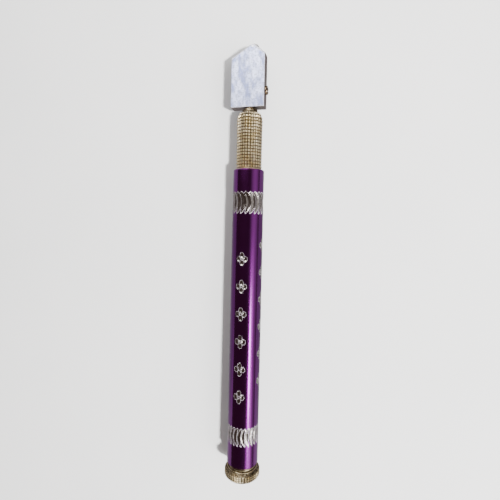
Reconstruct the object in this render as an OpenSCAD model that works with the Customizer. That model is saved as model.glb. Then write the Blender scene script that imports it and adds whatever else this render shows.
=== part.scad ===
// Oil-fed glass cutter: a carbide wheel in a flat swivelling head, a knurled collar
// that holds the sprung stem and its oil valve, and a tubular handle that is the oil tank.
// The tool lies along Y with the wheel towards +Y; the origin is the middle of the handle.

/* [Handle] */
// Length of the handle tube
handle_length = 119; // [90:1:150]
// Outside diameter of the handle tube
handle_d = 12.6; // [11.6:0.1:16]
// Wall of the handle tube
handle_wall = 1.2; // [1:0.1:1.4]
// Bevel on both rims of the tube
handle_bevel = 0.4; // [0.2:0.05:0.8]
// Wall of the brass bushes pressed into the tube
bush_wall = 0.9; // [0.7:0.05:1.1]
// Length of the front bush, which takes the collar
front_bush_length = 8.5; // [8:0.1:14]
// Length of the rear bush, which takes the end cap
rear_bush_length = 8; // [7.8:0.1:14]
// Thickness of the rear bush's flange, behind the tube
bush_flange_t = 0.6; // [0.4:0.1:1]
// How far the rear bush's flange stands in from the tube's side
flange_step = 0.6; // [0.4:0.05:0.8]

/* [Collar] */
// How far the knurled collar stands in from the tube's side
collar_step = 1.05; // [0.2:0.05:1.15]
// Length of the knurled cylinder
collar_length = 20.6; // [18:0.1:30]
// Length of the tapered nose
nose_length = 4.2; // [2:0.1:6]
// How far the nose has narrowed where it turns steeper
nose_bend = 1.1; // [0.6:0.1:1.6]
// Diameter of the nose's front face
nose_d = 6.8; // [5:0.1:8]
// Length of the collar's threaded spigot in the front bush
spigot_length = 7; // [6:0.1:7.8]
// Diameter of the chamber that holds the spring and seals
chamber_d = 6; // [5:0.1:6.6]
// Length of the stem's bearing in the collar's front
bearing_length = 11; // [8:0.1:11.5]

/* [Stem and valve] */
// Diameter of the stem in its bearing
stem_d = 4; // [3.5:0.05:4.8]
// Diameter of the stem's thin ends
shank_d = 3; // [2.6:0.05:3.2]
// Bore of the stem, which holds the wick
stem_bore_d = 1.4; // [1.2:0.05:1.5]
// Diameter of the wick
wick_d = 1.2; // [0.8:0.05:1.25]
// Travel of the sprung stem when the wheel is pressed on the glass
feed_travel = 0.5; // [0.4:0.05:1]
// Wire diameter of the return spring
spring_wire = 0.5; // [0.3:0.05:0.55]
// Play between the return spring and the chamber's wall
spring_play = 0.25; // [0.2:0.05:0.4]
// Number of turns in the return spring
spring_turns = 9; // [5:1:12]
// Thickness of each thin steel or brass ring on the stem
washer_t = 0.6; // [0.4:0.05:0.8]
// Wall of the spring seat around the valve's rubber seat
seat_wall = 0.5; // [0.3:0.05:0.6]
// Thickness of the valve's rubber seat
valve_seat_t = 1.2; // [0.8:0.1:2]
// Thickness of the valve nut's sealing disc
valve_disc_t = 1; // [0.6:0.1:1.5]
// Height of the valve nut's hexagon
valve_hex_t = 1.6; // [1:0.1:2]

/* [Head] */
// Width of the head plate
head_width = 13.8; // [12.5:0.1:18]
// Thickness of the head plate
head_t = 5.4; // [4.6:0.1:7]
// How far the plate's left edge lies from the stem's axis
head_left = 7.6; // [6.5:0.1:9]
// Height of the plate's left side
left_height = 20.4; // [19.8:0.1:20.8]
// Height of the plate's right side
right_height = 21.7; // [20.9:0.1:22.2]
// Height at which the two slopes would meet
apex_height = 25.9; // [25.2:0.1:26.4]
// How far the apex lies to the right of the stem's axis
apex_x = 1.1; // [0.7:0.1:1.5]
// How much of the point is cut off flat
tip_flat = 0.5; // [0.3:0.05:0.7]
// Bevel along the slopes, on both faces
slope_bevel = 0.8; // [0.4:0.05:1]
// Depth of the stem's socket in the head
socket_depth = 12; // [10:0.1:14]

/* [Wheel] */
// Diameter of the cutting wheel
wheel_d = 4.4; // [4:0.1:4.8]
// Thickness of the cutting wheel
wheel_t = 1; // [0.8:0.05:1.2]
// Angle of the wheel's cutting edge
edge_angle = 135; // [110:1:155]
// Diameter of the wheel's axle
axle_d = 0.8; // [0.6:0.05:0.9]
// How far the wheel stands out past the flat tip
wheel_stand_out = 1.1; // [0.8:0.05:1.2]

/* [Lock screw] */
// Diameter of the lock screw's thread
screw_d = 2.2; // [2:0.05:2.6]
// Diameter of the lock screw's head
screw_head_d = 3.6; // [3.2:0.1:4.2]
// Height of the lock screw's head
screw_head_t = 1; // [0.9:0.1:1.8]
// Diameter of the lock screw's plain point
screw_point_d = 1.2; // [1:0.05:1.3]
// Height of the lock screw above the head's lower edge
screw_height = 7; // [6:0.1:8]
// Width of the driver slot
slot_w = 0.7; // [0.4:0.05:0.8]
// Depth of the driver slot
slot_depth = 0.6; // [0.4:0.05:0.8]
// Depth of the groove in the stem that the point rides in
groove_depth = 0.35; // [0.2:0.05:0.4]

/* [End cap] */
// How far the cap's knurled rim stands out past the tube's side
rim_stand_out = 0.9; // [0.5:0.05:2]
// Length of the cap behind the rear bush
cap_length = 5.6; // [4.8:0.1:9]
// Length of the knurled rim
rim_length = 1.6; // [1.2:0.1:2]
// How far the cap's front step stands in from the bush's flange
cap_step = 0.1; // [0.05:0.05:0.3]
// Length of the cap's threaded plug in the rear bush
plug_length = 6.5; // [5:0.1:7]

/* [Seals and clearances] */
// Thickness of the collar's and the cap's seal rings
ring_t = 0.7; // [0.5:0.05:0.72]
// Radial clearance of running and screwed fits
running_gap = 0.05; // [0.02:0.01:0.09]
// Gap between faces that nearly touch
face_gap = 0.05; // [0.03:0.01:0.1]
// Gap around a pressed-in or seated piece
seat_gap = 0.02; // [0.01:0.005:0.03]

/* [Hidden] */
$fn = 64;
cut = 1; // how far a cutting shape runs past the face it opens

// Handle, bushes and threads
front_end = handle_length / 2;
bore_d = handle_d - 2 * handle_wall;
bush_bore_d = bore_d - 2 * bush_wall;
bush_flange_d = handle_d - 2 * flange_step;
thread_d = bush_bore_d - 2 * running_gap;
ring_groove_t = ring_t + face_gap;
ring_inner_r = thread_d / 2 + running_gap / 2;
ring_groove_d = 2 * (ring_inner_r + ring_t) + running_gap;

// What the chamber holds
collar_d = handle_d - 2 * collar_step;
washer_d = chamber_d - 0.4; // washers slide in the chamber
spring_d = chamber_d - 2 * spring_play;
stem_seal_t = (chamber_d - stem_d) / 2 - 2 * running_gap;
shank_hole_d = shank_d + 0.4; // oil flows around the shank
valve_seat_d = chamber_d - 2 * seat_wall;

// The collar's stack, as heights above the tube's front end
nose_top = collar_length + nose_length;
bend_y = collar_length + nose_length * 2 / 3;
bend_d = collar_d - nose_bend;
bearing_end = nose_top - bearing_length;
washer_top = bearing_end - stem_seal_t - 2 * face_gap;
washer_end = washer_top - washer_t;
clip_end = washer_end - face_gap - washer_t;
shoulder = clip_end - 0.35; // land left behind the clip's groove
spring_top = shoulder - washer_t - face_gap;
seat_top = 0;
seat_end = -spigot_length;
port_y = seat_end / 2;

// Head and wheel, as heights above the tube's front end
press_gap = feed_travel + 0.1; // the head stops just short of the nose
head_base = nose_top + press_gap;
head_right = head_width - head_left;
tip_y = head_base + apex_height - tip_flat;
wheel_y = tip_y + wheel_stand_out - wheel_d / 2;
slot_t = wheel_t + 4 * running_gap;
slot_r = wheel_d / 2 + 0.25; // room around the wheel
screw_y = head_base + screw_height;
stem_top = head_base + socket_depth - face_gap;
wick_top = wheel_y - slot_r - 1; // ends just below the wheel
duct_d = wick_d + 0.3;
groove_r = shank_d / 2 - groove_depth;

// End cap
cap_d = handle_d + 2 * rim_stand_out;
step_d = bush_flange_d - 2 * cap_step;

// Draws its children, made along +Z, along the tool's axis from the tube's front end
module from_front(height = 0) {
    translate([0, front_end + height, 0]) rotate([-90, 0, 0]) children();
}

// Draws its children, made along +Z, backwards from the tube's rear end
module from_rear(depth = 0) {
    translate([0, -front_end - depth, 0]) rotate([90, 0, 0]) children();
}

// A cylinder between two heights
module rod(d, low, high) {
    translate([0, 0, low]) cylinder(d = d, h = high - low);
}

// A flat ring between two heights
module ring(outer_d, inner_d, low, high) {
    difference() {
        rod(outer_d, low, high);
        rod(inner_d, low - cut, high + cut);
    }
}

// An O-ring that starts at a height, with its inner radius and its thickness
module o_ring(inner_r, thickness, low) {
    translate([0, 0, low + thickness / 2])
        rotate_extrude() translate([inner_r + thickness / 2, 0]) circle(d = thickness);
}

// Outline of the head plate, measured from the stem's axis and the head's lower edge
function head_outline() = let (
    left_slope = (apex_height - left_height) / (apex_x + head_left),
    right_slope = (apex_height - right_height) / (head_right - apex_x)
) [
    [-head_left, 0], [head_right, 0], [head_right, right_height],
    [apex_x + tip_flat / right_slope, apex_height - tip_flat],
    [apex_x - tip_flat / left_slope, apex_height - tip_flat],
    [-head_left, left_height]
];

// A bar that bevels one edge of both faces, from a shoulder at (x, y) along a slope
module bevel_bars(x, y, angle) {
    reach = head_width * 2;
    for (side = [-1, 1])
        translate([x, y, side * head_t / 2]) rotate([0, 0, angle]) rotate([45, 0, 0])
            cube([reach, slope_bevel * sqrt(2), slope_bevel * sqrt(2)], center = true);
}

// Cast head plate: slopes bevelled, slotted for the wheel, bored for stem, wick and screw
module head_plate() {
    left_angle = atan2(apex_height - left_height, apex_x + head_left);
    right_angle = -atan2(apex_height - right_height, head_right - apex_x);
    color("silver") difference() {
        translate([0, front_end + head_base, 0]) difference() {
            translate([0, 0, -head_t / 2]) linear_extrude(head_t) polygon(head_outline());
            bevel_bars(-head_left, left_height, left_angle);
            bevel_bars(head_right, right_height, right_angle);
        }
        translate([apex_x, front_end + wheel_y, 0]) {
            cylinder(r = slot_r, h = slot_t, center = true);
            translate([-slot_r, 0, -slot_t / 2]) cube([2 * slot_r, wheel_d, slot_t]);
            cylinder(d = axle_d, h = head_t + cut, center = true);
        }
        from_front() rod(shank_d + 2 * running_gap, head_base - cut, head_base + socket_depth);
        from_front() rod(duct_d, head_base + socket_depth - cut, wheel_y - slot_r + cut);
        translate([0, front_end + screw_y, 0]) rotate([0, 90, 0])
            rod(screw_d + 2 * running_gap, 0, head_right + cut);
    }
}

// Carbide wheel with a double-bevelled edge, running on the axle
module cutting_wheel() {
    edge_depth = wheel_t / 2 / tan(edge_angle / 2);
    hub_r = wheel_d / 2 - edge_depth;
    bore_r = axle_d / 2 + running_gap;
    color("dimgray") translate([apex_x, front_end + wheel_y, 0]) rotate_extrude()
        polygon([
            [bore_r, -wheel_t / 2], [hub_r, -wheel_t / 2], [wheel_d / 2, 0],
            [hub_r, wheel_t / 2], [bore_r, wheel_t / 2]
        ]);
}

// Steel pin through the head plate
module wheel_axle() {
    color("gray") translate([apex_x, front_end + wheel_y, 0])
        cylinder(d = axle_d, h = head_t, center = true);
}

// Slotted brass screw in the plate's right side; its point rides in the stem's groove
module lock_screw() {
    seat_x = head_right + face_gap;
    point_x = groove_r + 0.15; // stands off the groove's floor while the head swivels
    color("peru") translate([0, front_end + screw_y, 0]) difference() {
        rotate([0, 90, 0]) union() {
            rod(screw_point_d, point_x, seat_x);
            rod(screw_d, shank_d / 2 + 0.4, seat_x);
            rod(screw_head_d, seat_x, seat_x + screw_head_t);
        }
        translate([seat_x + screw_head_t - slot_depth, -slot_w / 2, -screw_head_d])
            cube([slot_depth + cut, slot_w, 2 * screw_head_d]);
    }
}

// Hollow stem: thick in the collar's bearing, thin in the head and through the spring
module stem() {
    rear = seat_end - face_gap - valve_disc_t - valve_hex_t;
    clip_groove_d = shank_d + 0.2;
    color("peru") from_front() difference() {
        union() {
            rod(shank_d, rear, stem_top);
            rod(stem_d, shoulder, head_base - face_gap);
        }
        ring(stem_d + cut, clip_groove_d, clip_end - seat_gap, clip_end + washer_t + seat_gap);
        ring(shank_d + cut, 2 * groove_r, screw_y - screw_point_d / 2 - 0.15,
             screw_y + screw_point_d / 2 + 0.15);
        rod(stem_bore_d, port_y - cut, stem_top + cut);
        translate([0, 0, port_y]) rotate([0, 90, 0])
            cylinder(d = 0.9, h = stem_d + cut, center = true);
    }
}

// Open steel clip in the stem's groove, which stops the stem against the seal washer
module stem_clip() {
    mouth_w = shank_d * 0.8;
    color("gray") from_front() difference() {
        ring(washer_d, shank_d + 0.2 + 2 * seat_gap, clip_end, clip_end + washer_t);
        translate([0, -mouth_w / 2, clip_end - cut])
            cube([washer_d, mouth_w, washer_t + 2 * cut]);
    }
}

// Washer that carries the spring's push to the stem's shoulder
module spring_washer() {
    color("gray") from_front()
        ring(washer_d, shank_d + 2 * seat_gap, spring_top + face_gap, shoulder - seat_gap);
}

// Helical return spring between the spring washer and the spring seat
module return_spring() {
    steps = 16; // points in one turn
    sides = 8; // corners of the wire
    coil_r = (spring_d - spring_wire) / 2;
    rise = spring_top - seat_top - 2 * face_gap - spring_wire;
    count = spring_turns * steps;
    points = [
        for (i = [0:count], k = [0:sides - 1])
            let (turn = 360 * i / steps, around = 360 * k / sides,
                 r = coil_r + spring_wire / 2 * cos(around))
            [r * cos(turn), r * sin(turn),
             seat_top + face_gap + spring_wire / 2 + rise * i / count
             + spring_wire / 2 * sin(around)]
    ];
    walls = [
        for (i = [0:count - 1], k = [0:sides - 1])
            let (a = i * sides + k, b = i * sides + (k + 1) % sides)
            [a, b, b + sides, a + sides]
    ];
    first = [for (k = [sides - 1:-1:0]) k];
    last = [for (k = [0:sides - 1]) count * sides + k];
    color("silver") from_front() polyhedron(points, concat([first, last], walls));
}

// Hexagon nut with a flat disc, fixed on the stem's rear end: the valve's moving half
module valve_nut() {
    disc_top = seat_end - face_gap;
    hex_d = valve_seat_d * 0.92;
    color("peru") from_front() difference() {
        union() {
            rod(valve_seat_d * 0.96, disc_top - valve_disc_t, disc_top);
            translate([0, 0, disc_top - valve_disc_t - valve_hex_t])
                cylinder(d = hex_d, h = valve_hex_t + valve_disc_t / 2, $fn = 6);
        }
        rod(shank_d + 2 * seat_gap, disc_top - valve_disc_t - valve_hex_t - cut, disc_top + cut);
    }
}

// Cotton wick from the stem's oil port to the wheel
module wick() {
    color("wheat") from_front() rod(wick_d, port_y - 0.5, wick_top);
}

// Knurled collar with its tapered nose, threaded spigot, bearing and spring chamber
module collar() {
    color("darkkhaki") from_front() difference() {
        union() {
            rod(thread_d, seat_end, cut);
            rod(collar_d, face_gap, collar_length);
            translate([0, 0, collar_length])
                cylinder(d1 = collar_d, d2 = bend_d, h = bend_y - collar_length);
            translate([0, 0, bend_y])
                cylinder(d1 = bend_d, d2 = nose_d, h = nose_top - bend_y);
        }
        rod(chamber_d, seat_end - cut, bearing_end);
        rod(stem_d + 2 * running_gap, bearing_end - cut, nose_top + cut);
    }
}

// Rubber ring that keeps oil from creeping out along the stem
module stem_seal() {
    color("black") from_front()
        o_ring(stem_d / 2 + running_gap, stem_seal_t, bearing_end - stem_seal_t - face_gap);
}

// Brass washer that holds the stem seal and stops the clip
module seal_washer() {
    color("peru") from_front()
        ring(chamber_d - 2 * seat_gap, stem_d + 4 * running_gap, washer_end, washer_top);
}

// Bush screwed into the collar's rear, which carries the spring and the valve's seat
module spring_seat() {
    color("peru") from_front() difference() {
        ring(chamber_d - 2 * seat_gap, shank_hole_d, seat_end, seat_top);
        rod(valve_seat_d + 2 * seat_gap, seat_end - cut, seat_end + valve_seat_t);
    }
}

// Rubber ring that the valve nut closes on
module valve_seat() {
    color("black") from_front()
        ring(valve_seat_d, shank_hole_d, seat_end, seat_end + valve_seat_t - seat_gap);
}

// Rubber ring between the collar's shoulder and the front bush
module collar_seal() {
    color("black") from_front() o_ring(ring_inner_r, ring_t, -ring_groove_t + face_gap / 2);
}

// Aluminium handle tube, the oil tank
module handle_tube() {
    half = handle_length / 2;
    outer = handle_d / 2;
    color("purple") rotate([-90, 0, 0]) rotate_extrude()
        polygon([
            [bore_d / 2, -half], [outer - handle_bevel, -half], [outer, -half + handle_bevel],
            [outer, half - handle_bevel], [outer - handle_bevel, half], [bore_d / 2, half]
        ]);
}

// A brass bush behind a tube end, with a counterbore for the seal ring at its mouth
module bush(length, flange_t) {
    difference() {
        union() {
            rod(bore_d - 2 * seat_gap, -length, flange_t);
            if (flange_t > 0) rod(bush_flange_d, seat_gap, flange_t);
        }
        rod(bush_bore_d, -length - cut, flange_t + cut);
        rod(ring_groove_d, flange_t - ring_groove_t, flange_t + cut);
    }
}

// Threaded bush in the tube's front end
module front_bush() {
    color("peru") from_front() bush(front_bush_length, 0);
}

// Threaded bush in the tube's rear end, with a thin flange outside
module rear_bush() {
    color("peru") from_rear() bush(rear_bush_length, bush_flange_t);
}

// Rubber ring between the end cap and the rear bush
module cap_seal() {
    color("black") from_rear()
        o_ring(ring_inner_r, ring_t, bush_flange_t - ring_groove_t + face_gap / 2);
}

// End cap: threaded plug, stepped cone, knurled rim and a low dome
module end_cap() {
    face = bush_flange_t + face_gap;
    back = bush_flange_t + cap_length;
    rim_back = back - 1.3; // the dome stands behind the rim
    rim_front = rim_back - rim_length;
    cone_front = face + 1.2;
    color("darkkhaki") from_rear() rotate_extrude()
        polygon([
            [0, -plug_length], [thread_d / 2 - 0.4, -plug_length],
            [thread_d / 2, 0.4 - plug_length], [thread_d / 2, face], [step_d / 2, face],
            [step_d / 2, face + 0.7], [step_d / 2 + 0.5, face + 0.7],
            [step_d / 2 + 0.5, cone_front], [cap_d / 2 - 0.3, rim_front],
            [cap_d / 2, rim_front + 0.3], [cap_d / 2, rim_back - 0.3],
            [cap_d / 2 - 0.3, rim_back],
            for (a = [20:10:90])
                [(cap_d / 2 - 0.5) * cos(a), rim_back + (back - rim_back) * sin(a)]
        ]);
}

head_plate();
cutting_wheel();
wheel_axle();
lock_screw();
stem();
stem_clip();
spring_washer();
return_spring();
valve_nut();
wick();
collar();
stem_seal();
seal_washer();
spring_seat();
valve_seat();
collar_seal();
handle_tube();
front_bush();
rear_bush();
cap_seal();
end_cap();
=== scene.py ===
"""Looks of an oil-fed glass cutter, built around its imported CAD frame."""

import math

import bmesh
import bpy
import numpy as np
from mathutils import Matrix, Vector, noise


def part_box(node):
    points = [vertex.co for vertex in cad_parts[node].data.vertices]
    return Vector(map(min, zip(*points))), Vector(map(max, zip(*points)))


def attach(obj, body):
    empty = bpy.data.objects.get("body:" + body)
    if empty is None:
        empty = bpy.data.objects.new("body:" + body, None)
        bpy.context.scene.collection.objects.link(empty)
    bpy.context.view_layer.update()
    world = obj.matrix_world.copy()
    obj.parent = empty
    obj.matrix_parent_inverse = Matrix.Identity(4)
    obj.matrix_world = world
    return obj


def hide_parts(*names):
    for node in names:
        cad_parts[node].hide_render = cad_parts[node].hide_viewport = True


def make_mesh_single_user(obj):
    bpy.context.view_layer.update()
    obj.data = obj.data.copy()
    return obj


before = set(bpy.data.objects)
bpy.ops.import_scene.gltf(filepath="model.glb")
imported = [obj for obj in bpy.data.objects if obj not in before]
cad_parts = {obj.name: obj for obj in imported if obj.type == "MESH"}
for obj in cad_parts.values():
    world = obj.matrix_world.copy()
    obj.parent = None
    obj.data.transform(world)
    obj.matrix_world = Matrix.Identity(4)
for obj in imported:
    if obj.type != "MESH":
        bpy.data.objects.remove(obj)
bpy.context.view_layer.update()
mm = 0.001

# ---------------------------------------------------------------- handle tube
# Drawn aluminium tube that is the oil tank. It is polished and anodised purple,
# then a round-nosed cutter cuts two bands of flutes and four rows of flowers
# through the colour into bare metal.

tube_low, tube_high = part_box("handle_tube")
tube_r = tube_high[0]
tube_wall = 1.2 * mm
tube_bevel = 0.4 * mm
pattern_turn = math.radians(-3.5)  # how far the flowers stand round from +Z
coarse = 180  # columns round the plain tube and the flowers
flower_depth = 0.3 * mm
flower_gap = 10.9 * mm
flowers_in_row = 6
first_flowers = (35.9 * mm, 30.45 * mm)  # from the front end, in rows on +-Z and +-X
petal_half = (0.86 * mm, 1.12 * mm)  # round the tube, along it
petal_out = (1.36 * mm, 1.52 * mm)
petal_dot = 0.34 * mm
# width of the painted glint along each cut's edge
burr_glint_width = 0.045  # in the cut's depth, in millimetres
bands = (
    {
        "from_front": 13.5 * mm,
        "half": 4.3 * mm,
        "strokes": 21,
        "bend": -1.25 * mm,
        "depth": 0.36 * mm,
        "nose_r": 1.7 * mm,
        "cross": 1.3 * mm,
    },
    {
        "from_front": 106.3 * mm,
        "half": 3.5 * mm,
        "strokes": 26,
        "bend": 0.95 * mm,
        "depth": 0.21 * mm,
        "nose_r": 1.25 * mm,
        "cross": -1.0 * mm,
    },
)


def linear(code):
    """An sRGB hex colour as linear values for a shader socket."""
    values = [int(code[i : i + 2], 16) / 255 for i in (1, 3, 5)]
    curve = [v / 12.92 if v <= 0.04045 else ((v + 0.055) / 1.055) ** 2.4 for v in values]
    return (*curve, 1.0)


def fill(tree, node, inputs):
    """Gives each input of a node a value, a hex colour or another node's output."""
    for key, given in inputs.items():
        if isinstance(given, bpy.types.NodeSocket):
            tree.links.new(given, node.inputs[key])
        elif isinstance(given, str):
            node.inputs[key].default_value = linear(given)
        else:
            node.inputs[key].default_value = given


def add(tree, kind, inputs, out=0, **settings):
    """Adds a node with its settings, values and links, and returns one of its outputs."""
    node = tree.nodes.new(kind)
    for name, value in settings.items():
        setattr(node, name, value)
    fill(tree, node, inputs)
    return node.outputs[out]


def new_material(name):
    """A material with its tree, its main shader and its Object coordinates."""
    material = bpy.data.materials.new(name)
    material.use_nodes = True
    tree = material.node_tree
    place = add(tree, "ShaderNodeTexCoord", {}, out="Object")
    return material, tree, tree.nodes["Principled BSDF"], place


rgba = {"out": 2, "data_type": "RGBA"}
soft_step = {"interpolation_type": "SMOOTHSTEP"}


def per(*lengths):
    """Scales that make a noise's blotches about these lengths in millimetres."""
    return tuple(1 / (length * mm) for length in lengths)


def purple_anodised_aluminium():
    """Polished aluminium under a clear purple dye: mirror-like, with drawing lines along it.
    Where the cutter went through, the metal is bare, bright and slightly torn."""
    material, tree, shader, place = new_material("purple_anodised_aluminium")
    cut = add(tree, "ShaderNodeAttribute", {}, out="Fac", attribute_name="cut")
    bare = add(tree, "ShaderNodeMapRange", {0: cut, 1: -0.012, 2: 0.012}, **soft_step)
    # the drawing lines and the torn streaks are drawn coarser than the real ones, to show
    lines_at = add(tree, "ShaderNodeMapping", {"Vector": place, "Scale": per(0.09, 30, 0.09)})
    lines = add(tree, "ShaderNodeTexNoise", {"Vector": lines_at, "Scale": 1, "Detail": 3})
    worn_at = add(tree, "ShaderNodeMapping", {"Vector": place, "Scale": per(7, 16, 7)})
    worn = add(tree, "ShaderNodeTexNoise", {"Vector": worn_at, "Scale": 1, "Detail": 3})
    torn_at = add(tree, "ShaderNodeMapping", {"Vector": place, "Scale": per(0.16, 1.6, 0.16)})
    torn = add(tree, "ShaderNodeTexNoise", {"Vector": torn_at, "Scale": 1, "Detail": 3})
    worn_share = add(tree, "ShaderNodeMapRange", {0: worn, 1: 0.3, 2: 0.7})
    torn_share = add(tree, "ShaderNodeMapRange", {0: torn, 1: 0.3, 2: 0.7})
    dye = add(tree, "ShaderNodeMix", {0: worn_share, 6: "#92309B", 7: "#872A90"}, **rgba)
    metal = add(tree, "ShaderNodeMix", {0: torn_share, 6: "#8D837D", 7: "#E8E1DC"}, **rgba)
    cleared = add(tree, "ShaderNodeMix", {0: bare, 6: dye, 7: metal}, **rgba)
    # the pale broken outline along each cut's edge is a painted glint on the burr
    off_edge = add(tree, "ShaderNodeMath", {0: cut}, operation="ABSOLUTE")
    near_edge = {0: off_edge, 1: 0.012, 2: burr_glint_width, 3: 1, 4: 0}
    edge = add(tree, "ShaderNodeMapRange", near_edge, **soft_step)
    broken = add(
        tree, "ShaderNodeTexNoise", {"Vector": place, "Scale": 1 / (0.45 * mm), "Detail": 1}
    )
    kept = add(tree, "ShaderNodeMapRange", {0: broken, 1: 0.35, 2: 0.6, 3: 0.25, 4: 1})
    # painted glint: where this is high the colour turns pale and less metallic
    burr = add(tree, "ShaderNodeMath", {0: edge, 1: kept}, operation="MULTIPLY")
    polished = add(tree, "ShaderNodeMapRange", {0: worn, 1: 0.3, 2: 0.7, 3: 0.13, 4: 0.2})
    rough_cut = add(tree, "ShaderNodeMapRange", {0: torn, 1: 0.3, 2: 0.7, 3: 0.08, 4: 0.2})
    drawn = add(tree, "ShaderNodeBump", {"Height": lines, "Distance": 0.0006 * mm})
    streaks = add(tree, "ShaderNodeMath", {0: torn, 1: bare}, operation="MULTIPLY")
    fill(tree, shader, {
        "Base Color": add(tree, "ShaderNodeMix", {0: burr, 6: cleared, 7: "#E8E2E6"}, **rgba),
        "Metallic": add(tree, "ShaderNodeMapRange", {0: burr, 3: 1, 4: 0.5}),
        "Roughness": add(tree, "ShaderNodeMix", {0: bare, 2: polished, 3: rough_cut}),
        "Coat Weight": 0.6,
        "Coat Roughness": 0.12,
        "Normal": add(
            tree, "ShaderNodeBump", {"Height": streaks, "Distance": 0.05 * mm, "Normal": drawn}
        ),
    })  # fmt: skip
    return material


def flutes(arc, along, strokes, half, bend, depth, nose, lean=0.0):
    """Depth of one band of curved strokes round the tube: deep in the middle of each
    stroke, running out at its ends, and rounded across by the cutter's nose."""
    share = along / half
    pitch = 2 * math.pi * tube_r / strokes
    side = arc - bend * share**2 - lean * share
    across = (side + pitch / 2) % pitch - pitch / 2
    depths = depth * (1 - share**2) * (1 + 0.3 * share) - across**2 / (2 * nose)
    return np.where(abs(share) < 1.2, depths, -1.0)


def petal(arc, along, half_arc, half_along, depth):
    """Depth of one oval scoop of a flower."""
    return depth * (1 - (arc / half_arc) ** 2 - (along / half_along) ** 2)


def cut_depth(angle, y):
    """How deep the cutter went at an angle round the tube from +Z and a place along it."""
    arc = angle * tube_r
    scoops = [np.full(np.broadcast(angle, y).shape, -1.0)]
    for band in bands:
        along = y - (tube_high[1] - band["from_front"])
        half, depth, nose = band["half"], band["depth"], band["nose_r"]
        scoops.append(flutes(arc, along, band["strokes"], half, band["bend"], depth, nose))
        # short strokes the other way, across the front tips
        tips = (arc, along - half * 0.72, band["strokes"], half * 0.3)
        scoops.append(flutes(*tips, 0.0, depth * 0.45, nose * 0.35, band["cross"] * 0.5))
    quarter = math.pi * tube_r / 2
    for row, first in enumerate(first_flowers):
        side = arc - pattern_turn * tube_r - row * quarter
        side = (side + quarter) % (2 * quarter) - quarter  # one row on each side
        for k in range(flowers_in_row):
            along = y - (tube_high[1] - first - k * flower_gap)
            for sign in (-1, 1):
                fore = along - sign * petal_out[1]
                scoops.append(petal(side, fore, *petal_half, flower_depth))
                beside = side - sign * petal_out[0]
                scoops.append(petal(beside, along, *petal_half, flower_depth))
            scoops.append(petal(side, along, petal_dot, petal_dot, flower_depth * 0.5))
    return np.maximum.reduce(scoops)


def own(name, vertices, faces, material=None, smooth=40.0):
    """A piece's object at the origin, closed, facing outwards, with one material."""
    mesh = bpy.data.meshes.new(name)
    mesh.from_pydata([tuple(v) for v in vertices], [], faces)
    shell = bmesh.new()
    shell.from_mesh(mesh)
    bmesh.ops.remove_doubles(shell, verts=shell.verts, dist=0.001 * mm)
    bmesh.ops.recalc_face_normals(shell, faces=shell.faces)
    shell.to_mesh(mesh)
    shell.free()
    if material:
        mesh.materials.append(material)
    return own_mesh(name, mesh, smooth)


def own_mesh(name, mesh, smooth):
    """An object for a finished mesh, smooth except at edges sharper than an angle."""
    mesh.name = name
    mesh.shade_smooth()
    mesh.set_sharp_from_angle(angle=math.radians(smooth))
    piece = bpy.data.objects.new(name, mesh)
    bpy.context.scene.collection.objects.link(piece)
    return piece


def stands_for(piece, body, slot, *nodes):
    """Rides a piece on its body, in place of its CAD node, which it hides; its slot is not used."""
    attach(piece, body)
    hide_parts(*nodes)


def even_rows(start, end, step, columns):
    """Rows of the tube between two distances from its front end."""
    count = max(1, round((end - start) / step))
    gap = (end - start) / count
    return [(tube_high[1] - start - gap * i, 0.0, columns) for i in range(count)]


def tube_rows():
    """Each row's place along the tube, how far it is pulled in, and its columns:
    fine in the bands, coarse elsewhere, with rounded ends and back through the bore."""
    front, rear = tube_high[1], tube_low[1]
    length = front - rear
    bore_in = -tube_wall
    rows = [
        (front, -tube_bevel, coarse),
        (front - tube_bevel / 2, -tube_bevel / 3, coarse),
        (front - tube_bevel, 0.0, coarse),
        (front - 2 * tube_bevel, 0.0, coarse),
    ]
    spans = []
    for band in bands:
        reach = band["half"] * 1.12
        fine = (0.15 * mm, 2 * coarse)
        spans.append((band["from_front"] - reach, band["from_front"] + reach, *fine))
    flower_start = min(first_flowers) - 2.8 * mm
    flower_end = max(first_flowers) + (flowers_in_row - 1) * flower_gap + 2.8 * mm
    spans.insert(1, (flower_start, flower_end, 0.24 * mm, coarse))
    here = 2.5 * tube_bevel
    for low, high, step, columns in spans:
        rows += even_rows(here, low, 2 * mm, coarse)
        rows += even_rows(low, high, step, columns)
        here = high
    rows += even_rows(here, length - 2 * tube_bevel, 2 * mm, coarse)
    rows += [
        (rear + 2 * tube_bevel, 0.0, coarse),
        (rear + tube_bevel, 0.0, coarse),
        (rear + tube_bevel / 2, -tube_bevel / 3, coarse),
        (rear, -tube_bevel, coarse),
        (rear, bore_in, coarse),
        (front, bore_in, coarse),
    ]
    return rows


def make_tube():
    """The tube as rings of vertices, each pulled in by the cut at its place."""
    vertices, cuts, faces, starts = [], [], [], []
    rows = tube_rows()
    for y, inward, columns in rows:
        starts.append(len(vertices))
        angles = np.arange(columns) * (2 * math.pi / columns)
        places = np.full(columns, y)
        depth = cut_depth(angles, places) if inward == 0 else np.full(columns, -0.1 * mm)
        radius = tube_r + inward - np.maximum(depth, 0)
        vertices += list(zip(radius * np.sin(angles), places, radius * np.cos(angles)))
        cuts += list(np.clip(depth, -0.1 * mm, 0.3 * mm) / mm)
    for k in range(len(rows)):
        n = (k + 1) % len(rows)
        here, there = rows[k][2], rows[n][2]
        fewer = min(here, there)
        for i in range(fewer):
            j = (i + 1) % fewer
            first = [starts[k] + i * (here // fewer) + s for s in range(here // fewer)]
            first.append(starts[k] + j * (here // fewer))
            second = [starts[n] + i * (there // fewer) + s for s in range(there // fewer)]
            second.append(starts[n] + j * (there // fewer))
            faces.append(first + second[::-1])
    return vertices, faces, cuts


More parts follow.
